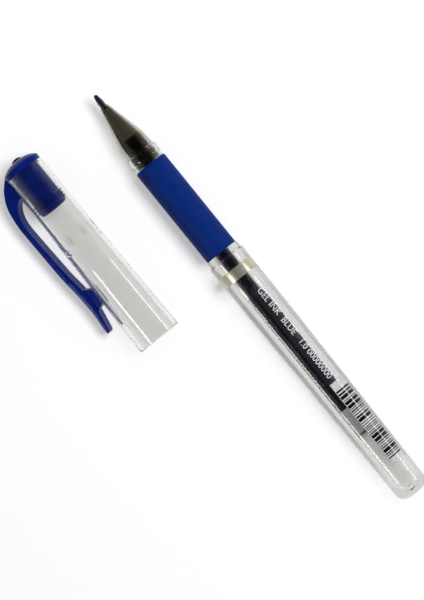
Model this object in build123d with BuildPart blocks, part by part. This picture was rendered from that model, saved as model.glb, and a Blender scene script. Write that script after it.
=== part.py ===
"""Capped gel pen with its cap off, in millimetres.

Frame: the origin is the writing tip, +X runs along the pen's axis to its tail and +Z is up.
The pen and its cap lie side by side on one level, the cap on the -Y side of the pen.
"""
import math
import os

from build123d import *

os.makedirs("parts", exist_ok=True)

# %% Driving sizes
# Clearances
slip = 0.02              # pressed or bonded round seats
running = 0.05           # a shaft that turns or slides in its hole
seam = 0.2               # line left open between the nose cone and the barrel

# Writing point
ball_radius = 0.5
socket_gap = 0.02        # between the ball and its socket
lip_exposure = 0.3       # how far the ball stands out of its lip
lip_wall = 0.12
point_radius = 0.95
point_taper = 2.4        # from the tip to the cylindrical part
point_front = 5.0        # length that stands out of the holder
shank_radius = 0.72
shank_length = 4.5
channel_radius = 0.4     # bore behind the ball, which holds the spring
feed_radius = 0.25       # ink feed behind the spring
wire_radius = 0.09
wire_sides = 12          # the fine wire is drawn with this many flats
spring_turns = 9

# Refill
narrow_radius = 2.15     # front stretch of the refill tube
wide_radius = 2.78       # rear stretch of the refill tube
tube_wall = 0.4
holder_length = 10.8     # tip holder, from its front to the tube
socket_depth = 4.1       # how far the tube is pushed into the holder
narrow_end = 71.4        # where the tube widens
wide_length = 49.4
step_length = 0.8        # cone between the two stretches
air_space = 0.8          # open end of the tube behind the follower
follower_length = 8.6

# Nose cone
nose_start = 4.2
nose_tip_radius = 1.3
nose_bend = 12.2         # from its front to where it turns almost straight
nose_bend_radius = 4.15
nose_rear = 3.8          # length of the almost straight stretch
nose_rear_radius = 4.3
nose_wall = 0.75
nose_lip = 0.7           # length of the hole that the point comes out of
holder_gap = 0.07        # round the tip holder, inside the nose cone
spigot_wall = 0.5
spigot_length = 4.0
thread_rings = 3
thread_depth = 0.2

# Barrel, from the inside out
bore_gap = 0.3           # round the wide tube, in front
bore_tail_gap = 0.08     # round the wide tube, at its rear end
grip_bore_gap = 0.2      # the bore is this much wider under the grip
core_wall = 0.87         # between the bore and the grip sleeve
grip_wall = 0.76
bead_length = 2.6
bead_wall = 0.9          # outside the nose cone's thread
neck_length = 1.6
neck_wall = 0.6
grip_length = 31.5
rear_neck_length = 2.0
rear_neck_step = 0.27    # the rear neck is this much larger than the grip
collar_step = 0.45       # from the rear neck up to the collar
collar_chamfer = 0.35
body_step = 0.05         # the body is this much smaller than the collar
band_from_collar = 3.6
band_length = 3.3
band_depth = 0.1
straight_length = 10.0   # of the body, behind the band
body_length = 83.9       # from the rear neck to the tail
tail_wall = 2.0          # end wall
tail_side_wall = 2.0
tail_round = 3.0

# Label on the barrel
label_from_band = 4.0
label_length = 63.0
label_start_angle = -5.0   # from straight up, towards +Y
label_sweep = 68.0
film = 0.05

# Cap
axis_spacing = 28.3      # between the pen's and the cap's axes
tip_depth = 6.4          # from the end of the dome to the tip of the capped pen
mouth_gap = 0.7          # between the mouth of the cap and the collar, when capped
mouth_clearance = 0.17   # between the mouth and the rear neck
mouth_land = 2.5
mouth_wall = 1.23
bead_clearance = 0.2     # between the tube and the bead
root_inner_radius = 4.88
root_wall = 0.87
dome_length = 2.4
rim_length = 1.6
straight_tube = 13.4     # nearly straight stretch of the tube over the skirt
straight_growth = 0.08
snap_ridge_width = 0.8
snap_bite = 0.15         # how far the ridge reaches inside the bead
pad_count = 6
pad_length = 6.0
pad_width = 1.2
skirt_length = 13.7
skirt_radius = 4.3
skirt_wall = 1.0
skirt_shoulder = 2.4     # full-width start of the skirt
seal_rings = 3
ring_pitch = 0.95
ring_width = 0.4
button_radius = 1.4
button_depth = 0.8
stem_radius = 1.1
seal_cup_radius = 2.2
seal_cup_length = 2.6

# Clip
clip_roll = 20.0         # degrees that the clip hangs below level
clip_width = 4.4
clip_tip_width = 3.4
clip_length = 53.8
clip_height = 11.33      # outer face, from the cap's axis
clip_thickness = 1.6
clip_hinge_x = 12.6
knuckle_radius = 1.4
knuckle_gap = 0.06
clip_pad_start = 40.3
clip_pad_length = 6.5
clip_pad_gap = 0.06
clip_round = 0.35

# %% Places worked out along the pen
holder_start = point_front
tube_start = holder_start + holder_length
tube_end = narrow_end + wide_length
follower_end = tube_end - air_space
ink_end = follower_end - follower_length
nose_end = nose_start + nose_bend + nose_rear
barrel_start = nose_end + seam
bead_end = barrel_start + bead_length
grip_start = bead_end + neck_length
grip_end = grip_start + grip_length
collar_start = grip_end + rear_neck_length
band_start = collar_start + band_from_collar
band_end = band_start + band_length
taper_start = band_end + straight_length
barrel_end = collar_start + body_length
bore_end = barrel_end - tail_wall
shoulder_x = collar_start + 1.5

# Radii from the inside out
tube_bore = narrow_radius - tube_wall
wide_bore = wide_radius - tube_wall
nose_bore = nose_bend_radius - nose_wall
spigot_radius = nose_bore + spigot_wall
socket_radius = spigot_radius + running
front_bore = wide_radius + bore_gap
tail_bore = wide_radius + bore_tail_gap
grip_bore = front_bore + grip_bore_gap
core_radius = grip_bore + core_wall
grip_radius = core_radius + slip + grip_wall
bead_radius = socket_radius + bead_wall
neck_radius = socket_radius + neck_wall
rear_neck_radius = grip_radius + rear_neck_step
collar_radius = rear_neck_radius + collar_step
body_radius = collar_radius - body_step
tail_radius = tail_bore + tail_side_wall


def body_radius_at(x):
    """Outer radius of the barrel's tapered stretch."""
    share = (x - taper_start) / (barrel_end - taper_start)
    return body_radius + (tail_radius - body_radius) * max(share, 0.0)


# Cap
cap_length = tip_depth + collar_start - mouth_gap
rim_end = dome_length + rim_length
mouth_inner = rear_neck_radius + mouth_clearance
mouth_outer = mouth_inner + mouth_wall
root_outer = root_inner_radius + root_wall
bend_x = rim_end + straight_tube
bend_outer = root_outer + straight_growth
ridge_x = tip_depth + bead_end + 0.15
ridge_radius = bead_radius - snap_bite
ridge_inner_wall = bead_radius + bead_clearance
skirt_end = rim_end + skirt_length
cap_origin = (0.0, -axis_spacing, mouth_outer - collar_radius)
cap_plane = Plane(origin=cap_origin, x_dir=(1, 0, 0), z_dir=(0, 0, 1))
cap_axis = Axis(cap_origin, (1, 0, 0))


def tube_outer_at(x):
    """Outer radius of the cap's tube."""
    share = (x - bend_x) / (cap_length - bend_x)
    return bend_outer + (mouth_outer - bend_outer) * max(share, 0.0)


def tube_inner_at(x):
    """Inner radius of the cap's tube up to the snap ridge."""
    share = (x - rim_end) / (ridge_x - rim_end)
    return root_inner_radius + (ridge_inner_wall - root_inner_radius) * share


roll = math.radians(clip_roll)
clip_side = (0.0, math.sin(roll), -math.cos(roll))
clip_out = (0.0, -math.cos(roll), -math.sin(roll))
clip_plane = Plane(origin=cap_origin, x_dir=(1, 0, 0), z_dir=clip_side)
clip_top_plane = Plane(origin=cap_origin, x_dir=(1, 0, 0), z_dir=clip_out)


def outline(*points):
    """Fill a closed outline in the sketch that is being drawn."""
    with BuildLine() as path:
        Polyline(*points, close=True)
    make_face(path.edges())


# %% Writing ball
with BuildPart(Plane(origin=(ball_radius, 0, 0))) as writing_ball:
    Sphere(ball_radius)
writing_ball.part.label = "writing_ball"
export_step(writing_ball.part, "parts/writing_ball.step")

# %% Point body: turned metal cone and shank, with a socket for the ball
ball_socket = ball_radius + socket_gap
lip_mouth = math.sqrt(ball_socket**2 - (ball_radius - lip_exposure) ** 2)
seat_x = ball_radius + math.sqrt(ball_socket**2 - channel_radius**2)
spring_end = point_front
shank_end = point_front + shank_length
with BuildPart() as point_body:
    with BuildSketch():
        with BuildLine():
            lip = Line((lip_exposure, lip_mouth), (lip_exposure, lip_mouth + lip_wall))
            cone = Line(lip @ 1, (point_taper, point_radius))
            front = Line(cone @ 1, (point_front, point_radius))
            step = Line(front @ 1, (point_front, shank_radius))
            shank = Line(step @ 1, (shank_end, shank_radius))
            rear = Line(shank @ 1, (shank_end, feed_radius))
            feed = Line(rear @ 1, (spring_end, feed_radius))
            stop = Line(feed @ 1, (spring_end, channel_radius))
            channel = Line(stop @ 1, (seat_x, channel_radius))
            ThreePointArc(channel @ 1, (ball_radius, ball_socket), lip @ 0)
        make_face()
    revolve(axis=Axis.X)
point_body.part.label = "point_body"
export_step(point_body.part, "parts/point_body.step")

# %% Spring that holds the ball against its lip
coil_radius = channel_radius - wire_radius - 0.03
coil_start = ball_radius + math.sqrt((ball_radius + wire_radius) ** 2 - coil_radius**2) + 0.01
coil_length = spring_end - wire_radius - 0.01 - coil_start
with BuildPart() as ball_spring:
    with BuildLine() as coil_path:
        Helix(
            pitch=coil_length / spring_turns,
            height=coil_length,
            radius=coil_radius,
            center=(coil_start, 0, 0),
            direction=(1, 0, 0),
        )
    with BuildSketch(Plane(origin=coil_path.line @ 0, z_dir=coil_path.line % 0)):
        RegularPolygon(wire_radius, wire_sides)
    sweep(path=coil_path.line, is_frenet=True)
ball_spring.part.label = "ball_spring"
export_step(ball_spring.part, "parts/ball_spring.step")

# %% Tip holder: smoke-brown plastic between the metal point and the refill tube, filling the nose cone
bend = nose_start + nose_bend
lip_end = nose_start + nose_lip
inner_nose = nose_tip_radius - 0.1
nose_slope = (nose_bore - inner_nose) / (bend - lip_end)
holder_nose = inner_nose + nose_slope * (holder_start - lip_end) - holder_gap
holder_outer = nose_bore - holder_gap
holder_bore = shank_radius + slip
holder_end = tube_start + socket_depth
tube_socket = narrow_radius + slip
with BuildPart() as tip_holder:
    with BuildSketch():
        outline(
            (holder_start, holder_bore),
            (holder_start, holder_nose),
            (bend, holder_outer),
            (holder_end, holder_outer),
            (holder_end, tube_socket),
            (tube_start, tube_socket),
            (tube_start, feed_radius),
            (shank_end, feed_radius),
            (shank_end, holder_bore),
        )
    revolve(axis=Axis.X)
tip_holder.part.label = "tip_holder"
export_step(tip_holder.part, "parts/tip_holder.step")

# %% Refill tube: narrow in front, wide behind, open at its rear end
step_start = narrow_end - step_length
with BuildPart() as refill_tube:
    with BuildSketch():
        outline(
            (tube_start, tube_bore),
            (tube_start, narrow_radius),
            (step_start, narrow_radius),
            (narrow_end, wide_radius),
            (tube_end, wide_radius),
            (tube_end, wide_bore),
            (narrow_end, wide_bore),
            (step_start, tube_bore),
        )
    revolve(axis=Axis.X)
refill_tube.part.label = "refill_tube"
export_step(refill_tube.part, "parts/refill_tube.step")

# %% Ink, with the thread of ink that feeds the point
ink_thread = feed_radius - slip
with BuildPart() as ink_column:
    with BuildSketch():
        outline(
            (spring_end + slip, 0),
            (spring_end + slip, ink_thread),
            (tube_start + slip, ink_thread),
            (tube_start + slip, tube_bore - slip),
            (step_start, tube_bore - slip),
            (narrow_end, wide_bore - slip),
            (ink_end, wide_bore - slip),
            (ink_end, 0),
        )
    revolve(axis=Axis.X)
ink_column.part.label = "ink_column"
export_step(ink_column.part, "parts/ink_column.step")

# %% Follower: clear grease that closes the ink and moves up behind it
follower_dish = 0.9
with BuildPart() as ink_follower:
    with BuildSketch():
        outline(
            (ink_end, 0),
            (ink_end, wide_bore - slip),
            (follower_end, wide_bore - slip),
            (follower_end - follower_dish, wide_bore * 0.5),
            (follower_end - follower_dish, 0),
        )
    revolve(axis=Axis.X)
ink_follower.part.label = "ink_follower"
export_step(ink_follower.part, "parts/ink_follower.step")

# %% Nose cone: clear shell with a spigot that screws into the barrel
point_hole = point_radius + running
spigot_end = nose_end + spigot_length
with BuildPart() as nose_cone:
    with BuildSketch():
        outline(
            (nose_start, point_hole),
            (nose_start, nose_tip_radius),
            (bend, nose_bend_radius),
            (nose_end, nose_rear_radius),
            (nose_end, spigot_radius - thread_depth),
            (spigot_end, spigot_radius - thread_depth),
            (spigot_end, nose_bore),
            (bend, nose_bore),
            (lip_end, inner_nose),
            (lip_end, point_hole),
        )
    revolve(axis=Axis.X)
    thread_pitch = spigot_length / (thread_rings + 1)
    with BuildSketch():
        for ring in range(thread_rings):
            crest = nose_end + thread_pitch * (ring + 0.9)
            outline(
                (crest - thread_depth * 1.6, spigot_radius - thread_depth * 1.2),
                (crest - 0.1, spigot_radius),
                (crest + 0.1, spigot_radius),
                (crest + thread_depth * 1.6, spigot_radius - thread_depth * 1.2),
            )
    revolve(axis=Axis.X)
    front_edges = nose_cone.edges().filter_by(GeomType.CIRCLE).group_by(Axis.X)[0]
    fillet(front_edges.sort_by(SortBy.RADIUS)[-1], radius=0.2)
nose_cone.part.label = "nose_cone"
export_step(nose_cone.part, "parts/nose_cone.step")

# %% Barrel: clear moulding from the front collar to the closed tail
socket_end = spigot_end + 0.3
with BuildPart() as barrel:
    with BuildSketch() as barrel_section:
        outline(
            (barrel_start, socket_radius),
            (barrel_start, bead_radius),
            (bead_end, bead_radius),
            (bead_end + 0.2, neck_radius),
            (grip_start, neck_radius),
            (grip_start, core_radius),
            (grip_end, core_radius),
            (grip_end, rear_neck_radius),
            (collar_start, rear_neck_radius),
            (collar_start + collar_chamfer, collar_radius),
            (shoulder_x, collar_radius),
            (band_start, body_radius),
            (band_start, body_radius - band_depth),
            (band_end, body_radius - band_depth),
            (band_end, body_radius),
            (taper_start, body_radius),
            (barrel_end, tail_radius),
            (barrel_end, 0),
            (bore_end, 0),
            (bore_end, tail_bore - bore_tail_gap),
            (tube_end, tail_bore),
            (shoulder_x, front_bore),
            (shoulder_x, grip_bore),
            (socket_end, grip_bore),
            (socket_end, socket_radius),
        )
        tail_corner = barrel_section.vertices().group_by(Axis.X)[-1].sort_by(Axis.Y)[-1]
        fillet(tail_corner, radius=tail_round)
        bore_corner = barrel_section.vertices().filter_by(
            lambda corner: abs(corner.X - bore_end) < 0.01 and corner.Y > 1
        )
        fillet(bore_corner, radius=tail_round * 0.5)
        bead_corners = barrel_section.vertices().filter_by(lambda corner: abs(corner.Y - bead_radius) < 0.01)
        fillet(bead_corners, radius=0.3)
    revolve(axis=Axis.X)
barrel.part.label = "barrel"
export_step(barrel.part, "parts/barrel.step")

# %% Grip sleeve: soft rubber between the two necks
with BuildPart() as grip_sleeve:
    with BuildSketch() as grip_section:
        outline(
            (grip_start + slip, core_radius + slip),
            (grip_start + slip, grip_radius),
            (grip_end - slip, grip_radius),
            (grip_end - slip, core_radius + slip),
        )
        outer_corners = grip_section.vertices().group_by(Axis.Y)[-1].sort_by(Axis.X)
        fillet(outer_corners[0], radius=0.5)
        fillet(grip_section.vertices().group_by(Axis.Y)[-1].sort_by(Axis.X)[-1], radius=0.2)
    revolve(axis=Axis.X)
grip_sleeve.part.label = "grip_sleeve"
export_step(grip_sleeve.part, "parts/grip_sleeve.step")

# %% Trim band: thin metal ring, flush with the body
with BuildPart() as trim_band:
    with BuildSketch():
        outline(
            (band_start + slip, body_radius - band_depth + slip),
            (band_start + slip, body_radius + slip),
            (band_end - slip, body_radius + slip),
            (band_end - slip, body_radius - band_depth + slip),
        )
    revolve(axis=Axis.X)
trim_band.part.label = "trim_band"
export_step(trim_band.part, "parts/trim_band.step")

# %% Label: thin printed film round part of the body
label_start = band_end + label_from_band
label_end = min(label_start + label_length, barrel_end - tail_round - 2.0)
label_plane = Plane.XY.rotated((90.0 - label_start_angle, 0, 0))
with BuildPart() as barrel_label:
    with BuildSketch(label_plane):
        outline(
            (label_start, body_radius_at(label_start) + slip),
            (label_start, body_radius_at(label_start) + slip + film),
            (taper_start, body_radius + slip + film),
            (label_end, body_radius_at(label_end) + slip + film),
            (label_end, body_radius_at(label_end) + slip),
            (taper_start, body_radius + slip),
        )
    revolve(axis=Axis.X, revolution_arc=-label_sweep)
barrel_label.part.label = "barrel_label"
export_step(barrel_label.part, "parts/barrel_label.step")

# %% Cap tube: clear, widening to its mouth, with a snap ridge and guide pads inside
land_start = cap_length - mouth_land
with BuildPart() as cap_tube:
    with BuildSketch(cap_plane) as tube_section:
        outline(
            (rim_end + slip, root_inner_radius),
            (rim_end + slip, root_outer),
            (bend_x, bend_outer),
            (cap_length, mouth_outer),
            (cap_length, mouth_inner),
            (land_start, mouth_inner),
            (ridge_x + snap_ridge_width + 0.4, ridge_inner_wall),
            (ridge_x + snap_ridge_width, ridge_radius),
            (ridge_x, ridge_radius),
            (ridge_x - 0.3, ridge_inner_wall),
        )
        mouth_corner = tube_section.vertices().group_by(Axis.X)[-1].sort_by(Axis.Y)[-1]
        fillet(mouth_corner, radius=0.3)
    revolve(axis=cap_axis)
    pad_start = Plane(origin=(ridge_x - pad_length, cap_origin[1], cap_origin[2]), z_dir=(1, 0, 0))
    with BuildSketch(pad_start):
        with PolarLocations(ridge_inner_wall, pad_count):
            Rectangle(0.3, pad_width)
    extrude(amount=pad_length)
cap_tube.part.label = "cap_tube"
export_step(cap_tube.part, "parts/cap_tube.step")

# %% Clip outline, in its own plane: along the cap and out from the cap's axis
arm_inner = clip_height - clip_thickness
pad_end = clip_pad_start + clip_pad_length
hinge_height = clip_height - 0.32 - clip_thickness * 0.65
pad_level = tube_outer_at(clip_pad_start) + clip_pad_gap
pad_end_level = tube_outer_at(pad_end) + clip_pad_gap
root_level = root_outer - 0.6
tip_level = (tube_outer_at(clip_length - 3.0) + clip_height - 1.4) / 2


def clip_outline():
    """Side view of the whole clip, from the dome to its tip."""
    with BuildLine() as path:
        shoulder = Spline(
            (1.9, root_level),
            (4.8, clip_height - 3.3),
            (9.0, clip_height - 1.0),
            (15.0, clip_height),
            tangents=((0.3, 1), (1, 0.03)),
        )
        back = Polyline(
            shoulder @ 1,
            (21.0, clip_height),
            (clip_pad_start - 5.6, clip_height - 0.33),
            (clip_pad_start - 1.0, clip_height - 0.85),
            (clip_length - 4.4, clip_height - 1.4),
            (clip_length - 1.6, clip_height - 0.85),
            (clip_length - 0.7, clip_height - 0.95),
            (clip_length, clip_height - 1.9),
            (clip_length - 0.7, clip_height - 2.6),
            (clip_length - 3.0, tip_level),
            (pad_end, pad_end_level),
            (clip_pad_start, pad_level),
            (clip_pad_start - 2.6, clip_height - 2.6),
            (clip_pad_start - 5.6, clip_height - 2.3),
            (20.0, arm_inner),
            (16.2, arm_inner + 0.05),
            (13.6, arm_inner - 0.45),
        )
        inside = Spline(
            back @ 1,
            (11.4, clip_height - 3.0),
            (9.6, root_outer),
            tangents=((-1, -0.35), (-0.3, -1)),
        )
        Polyline(inside @ 1, (9.6, root_level), shoulder @ 0)
    make_face(path.edges())


def knuckle(radius, side):
    """Everything on one side of the clip's hinge line, with a round end or hollow at the hinge."""
    with BuildSketch(mode=Mode.PRIVATE) as block:
        with Locations((clip_hinge_x + side * 40, hinge_height)):
            Rectangle(80, 60)
        with Locations((clip_hinge_x, hinge_height)):
            Circle(radius, mode=Mode.SUBTRACT if side < 0 else Mode.ADD)
    return block.sketch


# %% Cap plug: dome, rim, sealing skirt and the root of the clip, one blue moulding
plug_bore = skirt_radius - skirt_wall
cup_pocket = seal_cup_radius + slip
cup_start = button_depth + 1.6
cup_end = cup_start + seal_cup_length
ring_start = skirt_end - 0.9 - ring_pitch * seal_rings
with BuildPart() as cap_plug:
    with BuildSketch(clip_plane):
        clip_outline()
        add(knuckle(knuckle_radius + knuckle_gap, 1), mode=Mode.SUBTRACT)
    extrude(amount=clip_width / 2, both=True)
    root_edges = cap_plug.edges().filter_by(lambda edge: edge.length > 4.6)
    tube_clear = Plane(origin=(rim_end, cap_origin[1], cap_origin[2]), z_dir=(1, 0, 0))
    with BuildSketch(tube_clear):
        Circle(tube_outer_at(bend_x) + slip)
    extrude(amount=straight_tube, mode=Mode.SUBTRACT)
    with BuildSketch(cap_plane):
        with BuildLine():
            crown = ThreePointArc((0, button_radius + slip), (0.75, 3.9), (dome_length, root_outer - 0.05))
            Polyline(
                crown @ 1,
                (dome_length + 0.15, root_outer),
                (rim_end, root_outer),
                (rim_end, root_inner_radius - slip),
                (rim_end + skirt_shoulder, root_inner_radius - slip),
                (rim_end + skirt_shoulder + 0.4, skirt_radius),
                (skirt_end - 0.6, skirt_radius),
                (skirt_end, skirt_radius - 0.5),
                (skirt_end, plug_bore + 0.2),
                (skirt_end - 0.4, plug_bore),
                (cup_end + 2.2, plug_bore),
                (cup_end + 1.2, cup_pocket),
                (cup_start, cup_pocket),
                (cup_start, stem_radius + slip),
                (button_depth, stem_radius + slip),
                (button_depth, button_radius + slip),
                crown @ 0,
            )
        make_face()
        for ring in range(seal_rings):
            crest = ring_start + ring_pitch * (ring + 0.5)
            crest_radius = tube_inner_at(crest) - slip
            outline(
                (crest - ring_width, skirt_radius - 0.1),
                (crest - ring_width * 0.3, crest_radius),
                (crest + ring_width * 0.3, crest_radius),
                (crest + ring_width, skirt_radius - 0.1),
            )
    revolve(axis=cap_axis)
cap_plug.part.label = "cap_plug"
export_step(cap_plug.part, "parts/cap_plug.step")

# %% Tip seal: elastomer button through the dome, with a cup that closes the point
cup_rim = tip_depth - 0.4
with BuildPart() as tip_seal:
    with BuildSketch(cap_plane):
        outline(
            (0, 0),
            (0, button_radius),
            (button_depth - slip, button_radius),
            (button_depth - slip, stem_radius),
            (cup_start + slip, stem_radius),
            (cup_start + slip, seal_cup_radius),
            (cup_end, seal_cup_radius),
            (cup_rim, seal_cup_radius - 0.9),
            (cup_rim, ball_radius + 0.1),
            (cup_rim - 0.2, ball_radius * 0.6),
            (cup_rim - 0.2, 0),
        )
    revolve(axis=cap_axis)
tip_seal.part.label = "tip_seal"
export_step(tip_seal.part, "parts/tip_seal.step")

# %% Clip arm: springs open about the bend at its root
with BuildPart() as clip:
    with BuildSketch(clip_plane):
        clip_outline()
        add(knuckle(knuckle_radius, -1), mode=Mode.SUBTRACT)
    extrude(amount=clip_width / 2, both=True)
    with BuildSketch(clip_top_plane):
        outline(
            (0, -clip_width),
            (0, clip_width),
            (clip_hinge_x, clip_width / 2),
            (clip_length + 1, clip_tip_width / 2),
            (clip_length + 1, -clip_tip_width / 2),
            (clip_hinge_x, -clip_width / 2),
        )
    extrude(amount=clip_height + 2, mode=Mode.INTERSECT)
clip.part.label = "clip"
export_step(clip.part, "parts/clip.step")
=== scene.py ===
# %% [markdown]
# # A gel pen with its cap off
# The pen is a clear barrel with a blue rubber grip, and inside it lies a refill of dark gel ink. Its cap
# lies beside it. Almost every piece is turned or moulded round, so one tool does most of the work: an
# outline of half the section, spun about the pen's axis. Sizes are written in millimetres, as on a
# drawing, and each piece is scaled to metres once, at its end.

# %% Load the frame
import math
import random

import bmesh
import bpy
from mathutils import Matrix, Vector


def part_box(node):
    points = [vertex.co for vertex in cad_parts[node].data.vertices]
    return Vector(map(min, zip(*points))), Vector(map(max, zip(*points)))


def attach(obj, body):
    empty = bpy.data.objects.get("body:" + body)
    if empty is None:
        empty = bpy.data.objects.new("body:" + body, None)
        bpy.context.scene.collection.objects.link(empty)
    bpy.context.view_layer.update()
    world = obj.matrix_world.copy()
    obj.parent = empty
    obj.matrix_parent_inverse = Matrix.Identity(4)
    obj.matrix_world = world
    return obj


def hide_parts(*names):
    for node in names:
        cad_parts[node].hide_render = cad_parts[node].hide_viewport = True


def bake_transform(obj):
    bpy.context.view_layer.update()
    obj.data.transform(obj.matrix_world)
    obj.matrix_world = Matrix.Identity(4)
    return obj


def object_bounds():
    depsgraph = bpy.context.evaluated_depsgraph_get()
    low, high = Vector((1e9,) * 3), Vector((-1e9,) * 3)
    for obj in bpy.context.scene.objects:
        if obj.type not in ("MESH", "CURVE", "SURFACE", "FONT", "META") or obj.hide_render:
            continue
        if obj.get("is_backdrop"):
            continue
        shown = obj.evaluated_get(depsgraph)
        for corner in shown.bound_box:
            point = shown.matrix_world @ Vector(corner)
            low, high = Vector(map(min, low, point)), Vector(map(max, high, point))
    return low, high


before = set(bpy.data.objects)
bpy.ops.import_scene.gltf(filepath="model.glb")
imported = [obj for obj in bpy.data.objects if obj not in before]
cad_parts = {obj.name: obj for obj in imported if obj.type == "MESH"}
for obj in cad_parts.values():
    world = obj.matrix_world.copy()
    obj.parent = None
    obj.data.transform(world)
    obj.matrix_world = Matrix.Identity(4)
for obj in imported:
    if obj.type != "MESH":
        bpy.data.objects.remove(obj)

MM = 0.001
scene = bpy.context.scene
cad_box = [list(corner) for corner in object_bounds()]

# %% [markdown]
# ## Camera
# Pen and cap lie flat and are seen from straight above, turned so that the tip points to the upper left.
# A long lens from nearly a metre keeps the two axes parallel, as a product shot does. A wide lens close
# by would show the side of the cap and make the tail look larger than the tip.

# %% Camera
picture_right = Vector((0.629, 0.7774, 0.0)).normalized()
picture_up = Vector((-0.7774, 0.629, 0.0)).normalized()
camera_height = 0.9
seen_length = 0.1667
camera_place = (0.0648, -0.0104, camera_height)
camera_data = bpy.data.cameras.new("camera")
camera_data.sensor_width = 36.0
camera_data.lens = camera_data.sensor_width * camera_height / seen_length
camera = bpy.data.objects.new("camera", camera_data)
scene.collection.objects.link(camera)
camera.matrix_world = (
    Matrix.Translation(camera_place)
    @ Matrix((picture_right, picture_up, picture_right.cross(picture_up))).transposed().to_4x4()
)
scene.camera = camera
print("lens", round(camera_data.lens, 1), "mm")

# %% [markdown]
# ## Light
# Clear plastic has hardly any colour of its own: it shows what stands round it. Two long strip lamps run
# beside the pen and do nothing but draw one straight white line each along every round wall. A large key
# lamp, nearly overhead, lights the colours and throws the soft shadow. It is hidden from mirrors and
# from looks through plastic, or a broad pale sheet would lie on every wall. The sky above is dim for
# reflections, so the dark ink keeps its depth, and pale low down, so the edges of the plastic stay light.
#
# The strips shine only for a ray that has met no matte surface and has turned at most three times.
# Without the first rule, light gathered by the round walls would draw white halos on the floor, and
# without the second, faint mirrorings deep in the refill would turn the ink grey and grainy.

# %% Sums in a shader
def maths(tree, operation, first, second):
    """One sum in a node tree; each side is a socket or a number."""
    node = tree.nodes.new("ShaderNodeMath")
    node.operation = operation
    for place, side in enumerate((first, second)):
        if isinstance(side, float):
            node.inputs[place].default_value = side
        else:
            tree.links.new(side, node.inputs[place])
    return node.outputs[0]


# %% Soft boxes
aimed_y = -0.012


def soft_box(name, lean, distance, width, start, stop, radiance):
    """A flat lamp along the pen from start to stop, leaning from straight above towards +Y."""
    lamp_data = bpy.data.lights.new(name, "AREA")
    lamp_data.shape = "RECTANGLE"
    lamp_data.size = stop - start
    lamp_data.size_y = width
    lamp_data.energy = radiance * math.pi * width * (stop - start)
    lamp = bpy.data.objects.new(name, lamp_data)
    scene.collection.objects.link(lamp)
    outward = Vector((0.0, math.sin(math.radians(lean)), math.cos(math.radians(lean))))
    along = Vector((1.0, 0.0, 0.0))
    turn = Matrix((along, outward.cross(along), outward)).transposed().to_4x4()
    aimed_at = Vector(((start + stop) / 2, aimed_y, 0.0))
    lamp.matrix_world = Matrix.Translation(aimed_at + outward * distance) @ turn
    print(name, round(lamp_data.energy, 2), "W")
    return lamp


strip_distance, strip_start, strip_stop, strip_radiance = 0.45, 0.035, 0.235, 11.0
most_turns = 3.5
for name, lean, width in (("strip_right", 60.0, 0.05), ("strip_left", -51.0, 0.08)):
    strip = soft_box(name, lean, strip_distance, width, strip_start, strip_stop, strip_radiance)
    strip.visible_diffuse = False
    strip.data.use_nodes = True
    strip_tree = strip.data.node_tree
    strip_ray = strip_tree.nodes.new("ShaderNodeLightPath")
    straight = maths(strip_tree, "LESS_THAN", strip_ray.outputs["Diffuse Depth"], 0.5)
    shallow = maths(strip_tree, "LESS_THAN", strip_ray.outputs["Ray Depth"], most_turns)
    lit = maths(strip_tree, "MULTIPLY", straight, shallow)
    strip_tree.links.new(lit, strip_tree.nodes["Emission"].inputs["Strength"])
key = soft_box("key", lean=24.0, distance=0.75, width=0.30, start=-0.16, stop=0.30, radiance=8.4)
key.visible_glossy = False
key.visible_transmission = False

# %% Sky
fill_level = 0.24
low_sky, low_sky_level = 0.25, 0.6
high_sky, high_sky_level = 0.8, 0.04
sky = bpy.data.worlds.new("sky")
scene.world = sky
sky.use_nodes = True
sky_nodes, sky_links = sky.node_tree.nodes, sky.node_tree.links
fill = sky_nodes["Background"]
fill.inputs["Color"].default_value = (1.0, 1.0, 1.0, 1.0)
fill.inputs["Strength"].default_value = fill_level
direction = sky_nodes.new("ShaderNodeTexCoord")
heights = sky_nodes.new("ShaderNodeSeparateXYZ")
sky_links.new(direction.outputs["Generated"], heights.inputs["Vector"])
dimming = sky_nodes.new("ShaderNodeMapRange")
dimming.inputs["From Min"].default_value = low_sky
dimming.inputs["From Max"].default_value = high_sky
dimming.inputs["To Min"].default_value = low_sky_level
dimming.inputs["To Max"].default_value = high_sky_level
sky_links.new(heights.outputs["Z"], dimming.inputs["Value"])
mirrored = sky_nodes.new("ShaderNodeBackground")
sky_links.new(dimming.outputs["Result"], mirrored.inputs["Strength"])
seen = sky_nodes.new("ShaderNodeBackground")
ray = sky_nodes.new("ShaderNodeLightPath")
sky_tree = sky.node_tree
through_or_mirrored = maths(
    sky_tree, "MAXIMUM", ray.outputs["Is Glossy Ray"], ray.outputs["Is Transmission Ray"],
)
straight = maths(sky_tree, "LESS_THAN", ray.outputs["Diffuse Depth"], 0.5)
straight_look = maths(sky_tree, "MULTIPLY", through_or_mirrored, straight)
with_mirror = sky_nodes.new("ShaderNodeMixShader")
sky_links.new(straight_look, with_mirror.inputs["Fac"])
sky_links.new(fill.outputs[0], with_mirror.inputs[1])
sky_links.new(mirrored.outputs[0], with_mirror.inputs[2])
whole_sky = sky_nodes.new("ShaderNodeMixShader")
sky_links.new(ray.outputs["Is Camera Ray"], whole_sky.inputs["Fac"])
sky_links.new(with_mirror.outputs[0], whole_sky.inputs[1])
sky_links.new(seen.outputs[0], whole_sky.inputs[2])
sky_links.new(whole_sky.outputs[0], sky_nodes["World Output"].inputs["Surface"])
scene.view_settings.view_transform = "Standard"
print("sky nodes", len(sky_nodes))

# %% [markdown]
# ## Floor
# The pen lies on a white sheet. The sheet is a real surface that takes the shadow, and it glows a little
# for every ray that sees it straight, in a mirror or through the plastic, so that it ends up white.

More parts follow.
